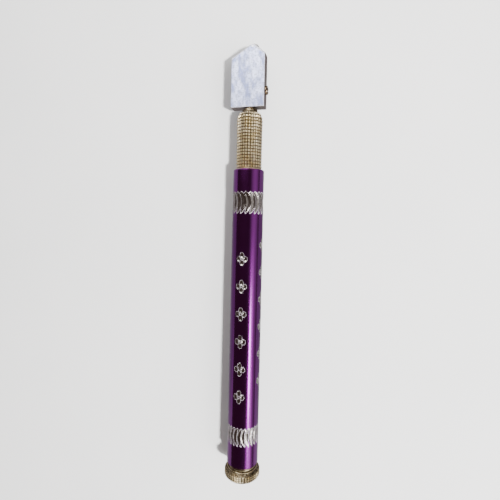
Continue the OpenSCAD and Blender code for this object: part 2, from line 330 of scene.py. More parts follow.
vertices, faces, cuts = make_tube()
tube = own("handle_tube_cut", vertices, faces, purple_anodised_aluminium(), 28)
cut_store = tube.data.attributes.new("cut", "FLOAT", "POINT")
cut_store.data.foreach_set("value", np.array(cuts, np.float32))
stands_for(tube, "handle", "anodised_aluminium", "handle_tube")

# --------------------------------------------------------------------- bushes
# Turned brass bushes pressed into both ends of the tube and threaded inside.
# The front one ends level with the tube; the rear one keeps a thin flange outside.


def metal_finish(name, tints, film, tarnish, gloss, marks, depth, detail=3, metallic=1.0):
    """A metal whose colour and gloss both follow a blotchy film, with fine marks in it.
    Film and marks are lengths in millimetres on X, Y and Z, and depth is the marks'."""
    material, tree, shader, place = new_material(name)
    film_at = add(tree, "ShaderNodeMapping", {"Vector": place, "Scale": per(*film)})
    blotches = add(tree, "ShaderNodeTexNoise", {"Vector": film_at, "Scale": 1, "Detail": detail})
    marks_at = add(tree, "ShaderNodeMapping", {"Vector": place, "Scale": per(*marks)})
    fine = add(tree, "ShaderNodeTexNoise", {"Vector": marks_at, "Scale": 1, "Detail": 3})
    share = add(tree, "ShaderNodeMapRange", {0: blotches, 1: tarnish[0], 2: tarnish[1]})
    shine = {0: blotches, 1: 0.3, 2: 0.7, 3: gloss[0], 4: gloss[1]}
    fill(tree, shader, {
        "Base Color": add(tree, "ShaderNodeMix", {0: share, 6: tints[0], 7: tints[1]}, **rgba),
        "Metallic": metallic,
        "Roughness": add(tree, "ShaderNodeMapRange", shine),
        "Normal": add(tree, "ShaderNodeBump", {"Height": fine, "Distance": depth * mm}),
    })  # fmt: skip
    return material


def dress(material, slot, *nodes):
    """Gives CAD nodes that keep their own shape their finish; the slot is not used."""
    for name in nodes:
        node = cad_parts[name]
        node.data.materials.clear()
        node.data.materials.append(material)


# turned brass: fine rings left by the lathe tool, a little dulled by hands and oil
brass = metal_finish(
    "turned_brass", ("#A8937A", "#6A5947"), (2.5, 2.5, 2.5), (0.35, 0.7), (0.22, 0.36),
    (40, 0.12, 40), 0.004,
)  # fmt: skip
dress(brass, "brass", "front_bush", "rear_bush")

# --------------------------------------------------------------------- collar
# Nickel-plated brass collar with a square knurl all round that runs over its nose.
# It screws into the front bush and carries the sprung stem.

collar_low, collar_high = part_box("collar")
collar_r = collar_high[0]
collar_rear = tube_high[1] + 0.05 * mm
collar_break = 0.15 * mm
nose_tip = collar_high[1]
neck_r = 3.1 * mm
neck_length = 1.2 * mm
shoulder_y = nose_tip - 4.2 * mm
knurl_drop = 130.0  # the radius falls by this times the square of the way past its start
drop_start = shoulder_y - 0.4 * mm
knurl_depth = 0.46 * mm
knurl_columns = 28
knurl_rings = 18
knurl_gap = 1.25 * mm
knurl_rear = collar_rear + 0.55 * mm
knurl_floor = collar_r - knurl_depth
nose_steps = 9
stem_hole_r = 2.05 * mm
chamber_r = 3 * mm
bush_wall = 0.9 * mm
thread_gap = 0.03 * mm
spigot_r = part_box("front_bush")[1][0] - bush_wall - thread_gap
spigot_rear = collar_low[1]
bearing_rear = nose_tip - 11 * mm


def nickel_plated_brass():
    """Thin worn nickel over brass: a pale warm gold on the high points, turned brown where the
    vertices say so: old oil and dirt with painted shade in the grooves, and painted shade on the
    collar's neck."""
    material, tree, shader, place = new_material("nickel_plated_brass")
    groove = add(tree, "ShaderNodeAttribute", {}, out="Fac", attribute_name="groove")
    worn = add(tree, "ShaderNodeTexNoise", {"Vector": place, "Scale": 1 / (3 * mm), "Detail": 3})
    specks = add(
        tree, "ShaderNodeTexNoise", {"Vector": place, "Scale": 1 / (0.5 * mm), "Detail": 3}
    )
    fine_at = add(tree, "ShaderNodeMapping", {"Vector": place, "Scale": per(0.25, 0.1, 0.25)})
    fine = add(tree, "ShaderNodeTexNoise", {"Vector": fine_at, "Scale": 1, "Detail": 3})
    share = add(tree, "ShaderNodeMapRange", {0: worn, 1: 0.35, 2: 0.65})
    darkened_share = add(
        tree,
        "ShaderNodeMapRange",
        {0: groove, 1: 0.3, 2: 0.9},
        **soft_step,
    )
    patchy = add(tree, "ShaderNodeMapRange", {0: specks, 1: 0.35, 2: 0.6, 3: 0.65, 4: 1})
    # the groove attribute carries old oil and dirt together with painted shade
    dirt_and_shade = add(tree, "ShaderNodeMath", {0: darkened_share, 1: patchy}, operation="MULTIPLY")
    plate = add(tree, "ShaderNodeMix", {0: share, 6: "#FFEFCB", 7: "#EFD8A8"}, **rgba)
    fill(tree, shader, {
        "Base Color": add(tree, "ShaderNodeMix", {0: dirt_and_shade, 6: plate, 7: "#33240F"}, **rgba),
        "Metallic": 1.0,
        "Roughness": add(tree, "ShaderNodeMapRange", {0: dirt_and_shade, 3: 0.3, 4: 0.5}),
        "Normal": add(tree, "ShaderNodeBump", {"Height": fine, "Distance": 0.004 * mm}),
    })  # fmt: skip
    return material


def lathed(outline, columns):
    """Vertices and faces of a closed outline of (radius, y) turned round the tool's axis."""
    vertices, faces = [], []
    for radius, y in outline:
        for i in range(columns):
            angle = 2 * math.pi * i / columns
            vertices.append((radius * math.sin(angle), y, radius * math.cos(angle)))
    count = len(outline)
    for k in range(count):
        n = (k + 1) % count
        if outline[k][0] == outline[n][0] == 0:
            continue  # both on the axis, so there is no face between them
        for i in range(columns):
            j = (i + 1) % columns
            faces.append((k * columns + i, k * columns + j, n * columns + j, n * columns + i))
    return vertices, faces


def knurl_tree(name, material):
    """Sets a small flat-topped pyramid at each crossing of rings and columns round a
    shaft whose radius falls off by a curve towards its front."""
    tree = bpy.data.node_groups.new(name, "GeometryNodeTree")
    face = tree.interface
    face.new_socket("Geometry", in_out="OUTPUT", socket_type="NodeSocketGeometry")
    face.new_socket("Geometry", in_out="INPUT", socket_type="NodeSocketGeometry")
    for label in ("Columns", "Rings"):
        face.new_socket(label, in_out="INPUT", socket_type="NodeSocketInt")
    for label in ("Radius", "Start", "Gap", "Depth", "Top", "Drop", "Drop start"):
        face.new_socket(label, in_out="INPUT", socket_type="NodeSocketFloat")
    given = tree.nodes.new("NodeGroupInput").outputs
    times = {"operation": "MULTIPLY"}
    over = {"operation": "DIVIDE"}
    less = {"operation": "SUBTRACT"}
    count = add(tree, "ShaderNodeMath", {0: given["Columns"], 1: given["Rings"]}, **times)
    points = add(tree, "GeometryNodePoints", {"Count": count})
    index = add(tree, "GeometryNodeInputIndex", {})
    # which column and ring each point belongs to
    laps = add(tree, "ShaderNodeMath", {0: index, 1: given["Columns"]}, **over)
    ring = add(tree, "ShaderNodeMath", {0: laps}, operation="FLOOR")
    column = add(tree, "ShaderNodeMath", {0: index, 1: given["Columns"]}, operation="MODULO")
    share = add(tree, "ShaderNodeMath", {0: column, 1: given["Columns"]}, **over)
    turn = add(tree, "ShaderNodeMath", {0: share, 1: 2 * math.pi}, **times)
    ahead = add(tree, "ShaderNodeMath", {0: ring, 1: given["Gap"]}, **times)
    y = add(tree, "ShaderNodeMath", {0: given["Start"], 1: ahead})
    # the radius and the slope there
    beyond = add(tree, "ShaderNodeMath", {0: y, 1: given["Drop start"]}, **less)
    past = add(tree, "ShaderNodeMath", {0: beyond, 1: 0.0}, operation="MAXIMUM")
    fall = add(tree, "ShaderNodeMath", {0: given["Drop"], 1: past}, **times)
    low = add(tree, "ShaderNodeMath", {0: fall, 1: past}, **times)
    slope = add(tree, "ShaderNodeMath", {0: fall, 1: -2.0}, **times)
    tilt = add(tree, "ShaderNodeMath", {0: slope}, operation="ARCTANGENT")
    radius = add(tree, "ShaderNodeMath", {0: given["Radius"], 1: low}, **less)
    sine = add(tree, "ShaderNodeMath", {0: turn}, operation="SINE")
    cosine = add(tree, "ShaderNodeMath", {0: turn}, operation="COSINE")
    x = add(tree, "ShaderNodeMath", {0: radius, 1: sine}, **times)
    z = add(tree, "ShaderNodeMath", {0: radius, 1: cosine}, **times)
    place = add(tree, "ShaderNodeCombineXYZ", {0: x, 1: y, 2: z})
    put = add(tree, "GeometryNodeSetPosition", {"Geometry": points, "Position": place})
    # one pyramid: a cone of four sides, its base as wide as a cell
    round_all = add(tree, "ShaderNodeMath", {0: given["Radius"], 1: 2 * math.pi}, **times)
    width = add(tree, "ShaderNodeMath", {0: round_all, 1: given["Columns"]}, **over)
    corner = math.sqrt(0.5)
    pyramid = add(tree, "GeometryNodeMeshCone", {
        "Vertices": 4,
        "Radius Top": add(tree, "ShaderNodeMath", {0: given["Top"], 1: corner}, **times),
        "Radius Bottom": add(tree, "ShaderNodeMath", {0: width, 1: corner}, **times),
        "Depth": given["Depth"],
    })  # fmt: skip
    eighth = (0, 0, math.pi / 4)
    square = add(tree, "GeometryNodeTransform", {"Geometry": pyramid, "Rotation": eighth})
    longer = add(tree, "ShaderNodeMath", {0: given["Gap"], 1: width}, **over)
    spread = add(tree, "GeometryNodeInstanceOnPoints", {
        "Points": put,
        "Instance": square,
        "Rotation": add(tree, "ShaderNodeCombineXYZ", {0: tilt, 1: turn}),
        "Scale": add(tree, "ShaderNodeCombineXYZ", {0: 1.0, 1: longer, 2: 1.0}),
    })  # fmt: skip
    real = add(tree, "GeometryNodeRealizeInstances", {0: spread})
    both = add(tree, "GeometryNodeJoinGeometry", {0: real})
    tree.links.new(given["Geometry"], both.node.inputs[0])
    done = add(tree, "GeometryNodeSetMaterial", {"Geometry": both, "Material": material})
    tree.links.new(done, tree.nodes.new("NodeGroupOutput").inputs[0])
    return tree


def grown(name, vertices, faces, tree, values, smooth=30.0):
    """A core mesh with a node tree's shapes added, as one plain piece."""
    core = own(name + "_core", vertices, faces, None, smooth)
    identifiers = {item.name: item.identifier for item in tree.interface.items_tree}
    modifier = core.modifiers.new("shape", "NODES")
    modifier.node_group = tree
    for label, value in values.items():
        modifier[identifiers[label]] = value
    bpy.context.view_layer.update()
    seen = core.evaluated_get(bpy.context.evaluated_depsgraph_get())
    mesh = bpy.data.meshes.new_from_object(seen)
    core_mesh = core.data
    bpy.data.objects.remove(core)
    bpy.data.meshes.remove(core_mesh)
    return own_mesh(name, mesh, smooth)


def store_dirt_and_shade(piece, dirt_and_shade_at):
    """Stores how dark each vertex is painted, from 0 to 1: old oil and dirt, and painted shade."""
    values = [dirt_and_shade_at(v.co) for v in piece.data.vertices]
    store = piece.data.attributes.new("groove", "FLOAT", "POINT")
    store.data.foreach_set("value", np.array(values, np.float32))


def off_axis(co):
    """How far a point lies from the tool's axis."""
    return math.hypot(co.x, co.z)


def knurl_dirt_and_shade(co):
    """Clean on the pyramids' tops and dark between them, from old oil and painted shade; the neck
    is painted dark as shade from the head above it.
    """
    if not collar_rear < co.y < nose_tip - neck_length:
        # the neck's darkness is painted shade from the head above it
        return 0.85 if co.y > shoulder_y else 0.1
    top = collar_r - knurl_drop * max(0.0, co.y - drop_start) ** 2
    return min(1.0, max(0.0, (top - 0.04 * mm - off_axis(co)) / (0.3 * mm)))


nickel = nickel_plated_brass()
nose = []
for k in range(nose_steps + 1):
    y = drop_start + (nose_tip - neck_length - drop_start) * k / nose_steps
    nose.append((knurl_floor - knurl_drop * (y - drop_start) ** 2, y))
outline = [
    (spigot_r - 0.25 * mm, spigot_rear),
    (spigot_r, spigot_rear + 0.25 * mm),
    (spigot_r, collar_rear),
    (collar_r - 0.35 * mm, collar_rear),
    (collar_r - collar_break, collar_rear + collar_break),
    (collar_r - collar_break, knurl_rear - 0.1 * mm),
    (knurl_floor, knurl_rear),
    *nose,
    (neck_r + 0.1 * mm, nose_tip - 0.85 * neck_length),
    (neck_r, nose_tip - 0.7 * neck_length),
    (neck_r, nose_tip - 0.25 * mm),
    (neck_r - 0.25 * mm, nose_tip),
    (stem_hole_r + collar_break, nose_tip),
    (stem_hole_r, nose_tip - collar_break),
    (stem_hole_r, bearing_rear),
    (chamber_r, bearing_rear),
    (chamber_r, spigot_rear),
]
knurled = {
    "Columns": knurl_columns,
    "Rings": knurl_rings,
    "Radius": knurl_floor,
    "Start": knurl_rear + knurl_gap / 2,
    "Gap": knurl_gap,
    "Depth": knurl_depth,
    "Top": 0.34 * mm,
    "Drop": knurl_drop,
    "Drop start": drop_start,
}
vertices, faces = lathed(outline, 4 * knurl_columns)
square_knurl = knurl_tree("square_knurl", nickel)
collar = grown("collar_knurled", vertices, faces, square_knurl, knurled)
store_dirt_and_shade(collar, knurl_dirt_and_shade)
stands_for(collar, "collar", "nickel_brass", "collar")

# -------------------------------------------------------------------- seals
# Moulded nitrile rubber: an O-ring under the collar's shoulder and one under the
# cap, one round the stem, and the flat ring that the oil valve closes on.


def nitrile_rubber():
    """Moulded black rubber, dull, with a faint grey bloom and a wet look where oil sits."""
    material, tree, shader, place = new_material("nitrile_rubber")
    bloom = add(tree, "ShaderNodeTexNoise", {"Vector": place, "Scale": 1 / (0.8 * mm), "Detail": 3})
    grain = add(
        tree, "ShaderNodeTexNoise", {"Vector": place, "Scale": 1 / (0.12 * mm), "Detail": 3}
    )
    share = add(tree, "ShaderNodeMapRange", {0: bloom, 1: 0.4, 2: 0.75})
    fill(tree, shader, {
        "Base Color": add(tree, "ShaderNodeMix", {0: share, 6: "#1B1B1C", 7: "#2E2D2C"}, **rgba),
        "Roughness": add(tree, "ShaderNodeMapRange", {0: bloom, 1: 0.3, 2: 0.7, 3: 0.4, 4: 0.62}),
        "IOR": 1.52,
        "Normal": add(tree, "ShaderNodeBump", {"Height": grain, "Distance": 0.006 * mm}),
    })  # fmt: skip
    return material


dress(nitrile_rubber(), "rubber", "collar_seal", "cap_seal", "stem_seal", "valve_seat")

# ------------------------------------------------------------- stem and valve
# The hollow brass stem slides in the collar. A steel clip stops it, a washer takes
# the spring's push, and a hexagon nut on its end is the valve's moving half.


dress(brass, "brass", "stem", "valve_nut", "seal_washer", "spring_seat")
# bright turned steel, with lathe rings and a thin film of oil
steel = metal_finish(
    "turned_steel", ("#B9BBBD", "#8E8C89"), (1.5, 1.5, 1.5), (0.35, 0.7), (0.2, 0.34),
    (40, 0.1, 40), 0.003,
)  # fmt: skip
dress(steel, "steel", "stem_clip", "spring_washer", "wheel_axle")

# -------------------------------------------------------------- return spring
# Cold-wound spring wire between the seat and the washer, with its end turns closed
# and ground flat. It presses the stem and its valve forward until the wheel is pushed.

spring_low, spring_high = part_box("return_spring")
wire_r = 0.25 * mm
wire_sides = 12
coil_r = spring_high[0] - wire_r
spring_turns = 9
closed_turns = 1.0
steps_a_turn = 40


def wire(path, radius, sides):
    """A round wire along a list of points, with closed ends, as vertices and faces."""
    vertices, faces = [], []
    for k, point in enumerate(path):
        before, after = path[max(k - 1, 0)], path[min(k + 1, len(path) - 1)]
        ahead = (after - before).normalized()
        side = ahead.cross(Vector((point.x, 0, point.z))).normalized()
        out = side.cross(ahead)
        for i in range(sides):
            a = 2 * math.pi * i / sides
            vertices.append(point + (out * math.cos(a) + side * math.sin(a)) * radius)
        if k:
            low, high = (k - 1) * sides, k * sides
            for i in range(sides):
                j = (i + 1) % sides
                faces.append((low + i, low + j, high + j, high + i))
    last = (len(path) - 1) * sides
    faces += [tuple(range(sides)), tuple(range(last, last + sides))]
    return vertices, faces


def spring_path():
    """The wire's middle: closed end turns, and an even rise between them."""
    start, end = spring_low[1] + wire_r, spring_high[1] - wire_r
    closed_rise = 2.15 * wire_r * closed_turns
    turns_at = [0, closed_turns, spring_turns - closed_turns, spring_turns]
    rises_at = [start, start + closed_rise, end - closed_rise, end]
    path = []
    for k in range(steps_a_turn * spring_turns + 1):
        turn = k / steps_a_turn
        angle = 2 * math.pi * turn
        y = float(np.interp(turn, turns_at, rises_at))
        path.append(Vector((coil_r * math.cos(angle), y, coil_r * math.sin(angle))))
    return path


# drawn spring wire: grey, with a thin brown-blue heat film and long drawing marks
spring_steel = metal_finish(
    "spring_steel", ("#8F9094", "#77706A"), (2, 2, 2), (0.3, 0.7), (0.24, 0.38),
    (0.3, 0.05, 0.3), 0.002,
)  # fmt: skip
vertices, faces = wire(spring_path(), wire_r, wire_sides)
spring = own("return_spring_wound", vertices, faces, spring_steel)
stands_for(spring, "collar", "spring_steel", "return_spring")
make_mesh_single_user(spring)

# ----------------------------------------------------------------------- wick
# Three strands of cotton yarn twisted together, in the stem's bore. They carry oil
# from the valve to the wheel's slot.

wick_low, wick_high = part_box("wick")
wick_r = wick_high[0]
strand_r = wick_r * 0.48
strand_sides = 10
strand_steps = 180
strand_count = 3
twist = 3.2 * mm  # length of one turn of the strands


def oiled_cotton():
    """Spun cotton soaked with oil: cream turned dull yellow, matt, with fibres along the twist."""
    material, tree, shader, place = new_material("oiled_cotton")
    soak_at = add(tree, "ShaderNodeMapping", {"Vector": place, "Scale": per(1, 3, 1)})
    soak = add(tree, "ShaderNodeTexNoise", {"Vector": soak_at, "Scale": 1, "Detail": 3})
    fibres_at = add(tree, "ShaderNodeMapping", {"Vector": place, "Scale": per(0.06, 0.25, 0.06)})
    fibres = add(tree, "ShaderNodeTexNoise", {"Vector": fibres_at, "Scale": 1, "Detail": 3})
    share = add(tree, "ShaderNodeMapRange", {0: soak, 1: 0.3, 2: 0.7})
    fill(tree, shader, {
        "Base Color": add(tree, "ShaderNodeMix", {0: share, 6: "#D8C69A", 7: "#B39A66"}, **rgba),
        "Roughness": 0.75,
        "Normal": add(tree, "ShaderNodeBump", {"Height": fibres, "Distance": 0.02 * mm}),
    })  # fmt: skip
    return material


def strand_path(first_angle):
    """One strand's middle, wound round the wick's axis."""
    path = []
    reach = wick_r - strand_r
    for k in range(strand_steps + 1):
        y = wick_low[1] + (wick_high[1] - wick_low[1]) * k / strand_steps
        angle = first_angle + 2 * math.pi * (y - wick_low[1]) / twist
        path.append(Vector((reach * math.cos(angle), y, reach * math.sin(angle))))
    return path


vertices, faces = [], []
for strand in range(strand_count):
    path = strand_path(2 * math.pi * strand / strand_count)
    more_vertices, more_faces = wire(path, strand_r, strand_sides)
    faces += [tuple(i + len(vertices) for i in face) for face in more_faces]
    vertices += more_vertices
wick = own("wick_twisted", vertices, faces, oiled_cotton())
stands_for(wick, "stem", "cotton", "wick")

# ----------------------------------------------------------------- head plate
# Die-cast zinc alloy plate, ground on its faces. It swivels on the stem, is slotted
# at the point for the wheel, and has broad bevels along the two slopes.

head_low, head_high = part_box("head_plate")
head_half = head_high[2]
apex = Vector((1.1 * mm, head_low[1] + 25.9 * mm))
tip_y = head_high[1]
left_y = head_low[1] + 20.4 * mm
right_y = head_low[1] + 21.7 * mm
edge_break = 0.16 * mm
slope_bevel = 0.8 * mm
base_break = 0.25 * mm
burr = 0.08 * mm
burr_grain = 0.6 * mm
side_points = (64, 40, 20, 4, 24, 40)
bevel_steps = ((1.0, 0.0), (0.3, 0.3), (0.0, 1.0))  # shares of a bevel: inset, depth
beyond = 1 * mm  # how far a cutting shape reaches past the surface
wheel_low, wheel_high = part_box("cutting_wheel")
wheel_mid = (wheel_low + wheel_high) / 2
slot_r = wheel_high[0] - wheel_mid[0] + 0.25 * mm
slot_half = wheel_high[2] + 0.1 * mm
axle_r = 0.4 * mm
socket_r = 1.55 * mm
socket_end = head_low[1] + 12 * mm
duct_r = 0.75 * mm
duct_end = wheel_mid.y - slot_r + 0.4 * mm
screw_y = head_low[1] + 7 * mm
screw_hole_r = 1.15 * mm
head_smooth = 14  # degrees


def ground_zinc_alloy():
    """Die-cast zinc alloy, ground flat: cool silver with cloudy patches, fine random
    scratches and a few pores."""
    material, tree, shader, place = new_material("ground_zinc_alloy")
    cloudy_at = add(tree, "ShaderNodeMapping", {"Vector": place, "Scale": per(1.9, 4.6, 1.9)})
    cloudy = add(tree, "ShaderNodeTexNoise", {"Vector": cloudy_at, "Scale": 1, "Detail": 5})
    patch = add(tree, "ShaderNodeMapRange", {0: cloudy, 1: 0.38, 2: 0.64})
    base = add(tree, "ShaderNodeMix", {0: patch, 6: "#C4CAE8", 7: "#7E86AE"}, **rgba)
    blotch = add(
        tree, "ShaderNodeTexNoise", {"Vector": place, "Scale": 1 / (0.7 * mm), "Detail": 4}
    )
    pores = add(tree, "ShaderNodeMapRange", {0: blotch, 1: 0.48, 2: 0.66, 3: 0, 4: 0.7})
    rubbed_at = add(tree, "ShaderNodeMapping", {"Vector": place, "Scale": per(0.35, 2.2, 0.35)})
    rubbed = add(tree, "ShaderNodeTexNoise", {"Vector": rubbed_at, "Scale": 1, "Detail": 3})
    rolling = add(tree, "ShaderNodeBump", {"Height": cloudy, "Distance": 0.09 * mm})
    fine = add(
        tree, "ShaderNodeBump", {"Height": rubbed, "Distance": 0.03 * mm, "Normal": rolling}
    )
    fill(tree, shader, {
        "Base Color": add(
            tree, "ShaderNodeMix", {0: pores, 6: base, 7: "#8C8F9E"}, **rgba
        ),
        "Metallic": 1.0,
        "Roughness": add(
            tree, "ShaderNodeMapRange", {0: blotch, 1: 0.3, 2: 0.7, 3: 0.34, 4: 0.5}
        ),
        "Normal": add(
            tree, "ShaderNodeBump", {"Height": blotch, "Distance": 0.04 * mm, "Normal": fine}
        ),
    })  # fmt: skip
    return material


def offset_corners(corners, insets):
    """An outline moved inwards, each side by its own inset."""
    moved = []
    count = len(corners)
    for k in range(count):
        lines = []
        for side in (k - 1, k):
            a, b = corners[side % count], corners[(side + 1) % count]
            ahead = (b - a).normalized()
            inward = Vector((-ahead.y, ahead.x))
            lines.append((a + inward * insets[side % count], ahead))
        (p, d), (q, e) = lines
        moved.append(p + d * ((q - p).cross(e) / d.cross(e)))
    return moved


def along_sides(corners, counts):
    """Points along each side of an outline, the same number whatever its inset."""
    points = []
    for k, count in enumerate(counts):
        a, b = corners[k], corners[(k + 1) % len(corners)]
        points += [a.lerp(b, i / count) for i in range(count)]
    return points


def head_outline():
    """The plate's six corners, from the lower left and round to the left."""
    left_rise = (apex.y - left_y) / (apex.x - head_low[0])
    right_rise = (apex.y - right_y) / (head_high[0] - apex.x)
    return [
        Vector((head_low[0], head_low[1])),
        Vector((head_high[0], head_low[1])),
        Vector((head_high[0], right_y)),
        Vector((apex.x + (apex.y - tip_y) / right_rise, tip_y)),
        Vector((apex.x - (apex.y - tip_y) / left_rise, tip_y)),
        Vector((head_low[0], left_y)),
    ]


def head_shell():
    """The plate as rings: face, bevel, side, bevel and face, with a ragged lower edge."""
    bevels = [base_break, edge_break, slope_bevel, slope_bevel, slope_bevel, edge_break]
    widths = [bevels[k] for k, count in enumerate(side_points) for _ in range(count)]
    rings = []
    for side in (1, -1):
        for inset_share, depth_share in bevel_steps[::side]:
            insets = [bevel * inset_share for bevel in bevels]
            ring = []
            for i, point in enumerate(
                along_sides(offset_corners(head_outline(), insets), side_points)
            ):
                near = (widths[i - 1] + widths[i]) / 2
                z = side * (head_half - near * depth_share)
                spot = Vector((point.x / burr_grain, point.y / burr_grain, side * 3))
                if i < side_points[0] and inset_share > 0:
                    point = point + Vector((0, burr * noise.noise(spot)))
                ring.append(Vector((point.x, point.y, z)))
            rings.append(ring)
    vertices = [v for ring in rings for v in ring]
    size = len(rings[0])
    faces = [tuple(range(size)), tuple(range(len(vertices) - size, len(vertices)))]
    for k in range(len(rings) - 1):
        for i in range(size):
            j = (i + 1) % size
            faces.append((k * size + i, k * size + j, (k + 1) * size + j, (k + 1) * size + i))
    return vertices, faces


def carve(piece, *tools):
    """Cuts tool shapes out of a piece, removes the tools and welds what the cuts left."""
    for tool in tools:
        modifier = piece.modifiers.new("carve", "BOOLEAN")
        modifier.object = tool
        modifier.operation = "DIFFERENCE"
        modifier.solver = "EXACT"
    bpy.context.view_layer.update()
    seen = piece.evaluated_get(bpy.context.evaluated_depsgraph_get())
    mesh = bpy.data.meshes.new_from_object(seen)
    shell = bmesh.new()
    shell.from_mesh(mesh)
    bmesh.ops.remove_doubles(shell, verts=shell.verts, dist=0.001 * mm)
    bmesh.ops.dissolve_degenerate(shell, edges=shell.edges, dist=0.001 * mm)
    shell.to_mesh(mesh)
    shell.free()
    name = piece.name
    for old in (piece, *tools):
        data = old.data
        bpy.data.objects.remove(old)
        bpy.data.meshes.remove(data)
    return own_mesh(name, mesh, head_smooth)


def drum(name, radius, start, end, sides=48):
    """A plain cylinder between two points, to cut with."""
    ahead = (end - start).normalized()
    side = ahead.orthogonal().normalized()
    other = ahead.cross(side)
    ring = []
    for i in range(sides):
        angle = 2 * math.pi * i / sides
        ring.append((side * math.cos(angle) + other * math.sin(angle)) * radius)
    vertices = [start + v for v in ring] + [end + v for v in ring]
    faces = [tuple(range(sides)), tuple(range(sides, 2 * sides))]
    faces += [(i, (i + 1) % sides, sides + (i + 1) % sides, sides + i) for i in range(sides)]
    return own(name, vertices, faces)


def block(name, low, high):
    """A plain block between two corners, to cut with."""
    spots = []
    for x in (low.x, high.x):
        for y in (low.y, high.y):
            spots += [Vector((x, y, low.z)), Vector((x, y, high.z))]
    faces = [(0, 1, 3, 2), (4, 5, 7, 6), (0, 1, 5, 4), (2, 3, 7, 6), (0, 2, 6, 4), (1, 3, 7, 5)]
    return own(name, spots, faces)


vertices, faces = head_shell()
head = own("head_plate_cast", vertices, faces, ground_zinc_alloy(), head_smooth)
# the same alloy as it left the mould: duller, warm grey and slightly grainy
head.data.materials.append(metal_finish(
    "cast_zinc_alloy", ("#B0A6A1", "#8D837C"), (1.2, 2.5, 1.2), (0.3, 0.7), (0.4, 0.58),
    (0.2, 0.2, 0.2), 0.02, 4,
))  # fmt: skip
# edges broken with a file: paler and rough, with a near-white colour that is a painted highlight
head.data.materials.append(metal_finish(
    "zinc_alloy_bevels_painted_highlight", ("#FBFAFF", "#B9BDD2"), (0.35, 0.35, 0.35), (0.35, 0.6),
    (0.3, 0.5), (0.35, 0.35, 0.35), 0.03, metallic=0.55,
))  # fmt: skip
for face in head.data.polygons:
    if 0.2 < abs(face.normal.z) < 0.98:
        # the bevels get the painted highlight
        face.material_index = 2  # the bevels
    elif face.normal.x > 0.9 or face.normal.y < -0.9:
        face.material_index = 1  # the right edge and the lower one
across = Vector((0, 0, slot_half))
through = Vector((0, 0, head_half + beyond))
slot_front = Vector((wheel_mid.x + slot_r, tip_y + beyond, slot_half))
socket_back = Vector((0, head_low[1] - beyond, 0))
duct_back = Vector((0, socket_end - beyond, 0))
screw_out = Vector((head_high[0] + beyond, screw_y, 0))
head = carve(
    head,
    drum("slot_round", slot_r, wheel_mid - across, wheel_mid + across, 96),
    block("slot_mouth", wheel_mid - Vector((slot_r, 0, slot_half)), slot_front),
    drum("socket", socket_r, socket_back, Vector((0, socket_end, 0))),
    drum("oil_duct", duct_r, duct_back, Vector((0, duct_end, 0))),
    drum("screw_hole", screw_hole_r, Vector((0, screw_y, 0)), screw_out),
    drum("axle_hole", axle_r, wheel_mid - through, wheel_mid + through),
)
stands_for(head, "head", "cast_alloy", "head_plate")

# ---------------------------------------------------------------------- wheel
# Sintered tungsten carbide wheel, ground to a double bevel and honed. It turns
# freely on the steel pin through the plate.

wheel_r = wheel_high[0] - wheel_mid[0]
wheel_half = wheel_high[2]
wheel_bore = 0.45 * mm
wheel_bevel = wheel_half / math.tan(math.radians(135 / 2))
bore_break = 0.04 * mm
honed = 0.02 * mm
wheel_columns = 128


def wheel_shell():
    """The wheel's section turned round its own axis, which lies along Z."""
    half_section = [
        (wheel_bore, wheel_half - bore_break),
        (wheel_bore + bore_break, wheel_half),
        (wheel_bore + 0.4 * mm, wheel_half),
        (wheel_r - wheel_bevel - honed, wheel_half),
        (wheel_r - wheel_bevel, wheel_half - honed),
        (wheel_r - honed, 2 * honed),
    ]
    section = [(radius, -z) for radius, z in half_section]
    section += [(wheel_r, 0), *half_section[::-1]]
    turned, faces = lathed(section, wheel_columns)
    return [wheel_mid + Vector((x, z, y)) for x, y, z in turned], faces


# ground carbide: dark grey and hard, with fine grinding rings
carbide = metal_finish(
    "tungsten_carbide", ("#6E6C6A", "#545250"), (0.5, 0.5, 0.5), (0.3, 0.7), (0.16, 0.3),
    (0.08, 0.08, 0.04), 0.002,
)  # fmt: skip
vertices, faces = wheel_shell()
wheel = own("cutting_wheel_ground", vertices, faces, carbide, 20)
stands_for(wheel, "wheel", "carbide", "cutting_wheel")

# ----------------------------------------------------------------- lock screw
# Small slotted brass screw in the plate's right edge. Its plain point rides in the
# stem's groove, so the head swivels or, with the screw tight, stays.

screw_low, screw_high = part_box("lock_screw")
screw_head_r = screw_high[2]
screw_under = screw_high[0] - 1 * mm
shank_r = 1.1 * mm
root_r = 0.95 * mm
point_r = 0.6 * mm
point_break = 0.1 * mm
shank_start = 1.9 * mm
thread_pitch = 0.4 * mm
driver_w = 0.7 * mm
driver_deep = 0.6 * mm
screw_columns = 64


def screw_shell():
    """The screw's section along X: point, shank with ridges for its thread, and a low head."""
    section = [
        (0.0, screw_low[0]),
        (point_r - point_break, screw_low[0]),
        (point_r, screw_low[0] + point_break),
        (point_r, shank_start),
    ]
    x = shank_start
    while x + thread_pitch < screw_under - 0.1 * mm:
        section += [(root_r, x), (shank_r, x + thread_pitch / 2)]
        x += thread_pitch
    section += [
        (root_r, x),
        (root_r, screw_under),
        (screw_head_r - 0.08 * mm, screw_under),
        (screw_head_r, screw_under + 0.08 * mm),
        (screw_head_r, screw_high[0] - 0.35 * mm),
        (screw_head_r - 0.12 * mm, screw_high[0] - 0.12 * mm),
        (screw_head_r - 0.4 * mm, screw_high[0]),
        (0.0, screw_high[0]),
    ]
    turned, faces = lathed(section, screw_columns)
    return [Vector((y, screw_y + x, z)) for x, y, z in turned], faces


vertices, faces = screw_shell()
screw = own("lock_screw_turned", vertices, faces, brass, 30)
slot_low = Vector((screw_high[0] - driver_deep, screw_y - driver_w / 2, -screw_head_r * 2))
slot_high = Vector((screw_high[0] + beyond, screw_y + driver_w / 2, screw_head_r * 2))
screw = carve(screw, block("driver_slot", slot_low, slot_high))
stands_for(screw, "lock_screw", "brass", "lock_screw")

# -------------------------------------------------------------------- end cap
# Turned brass cap with a threaded plug, plated like the collar: two small steps, a
# cone, a milled rim to grip and a low dome. It closes the tank.

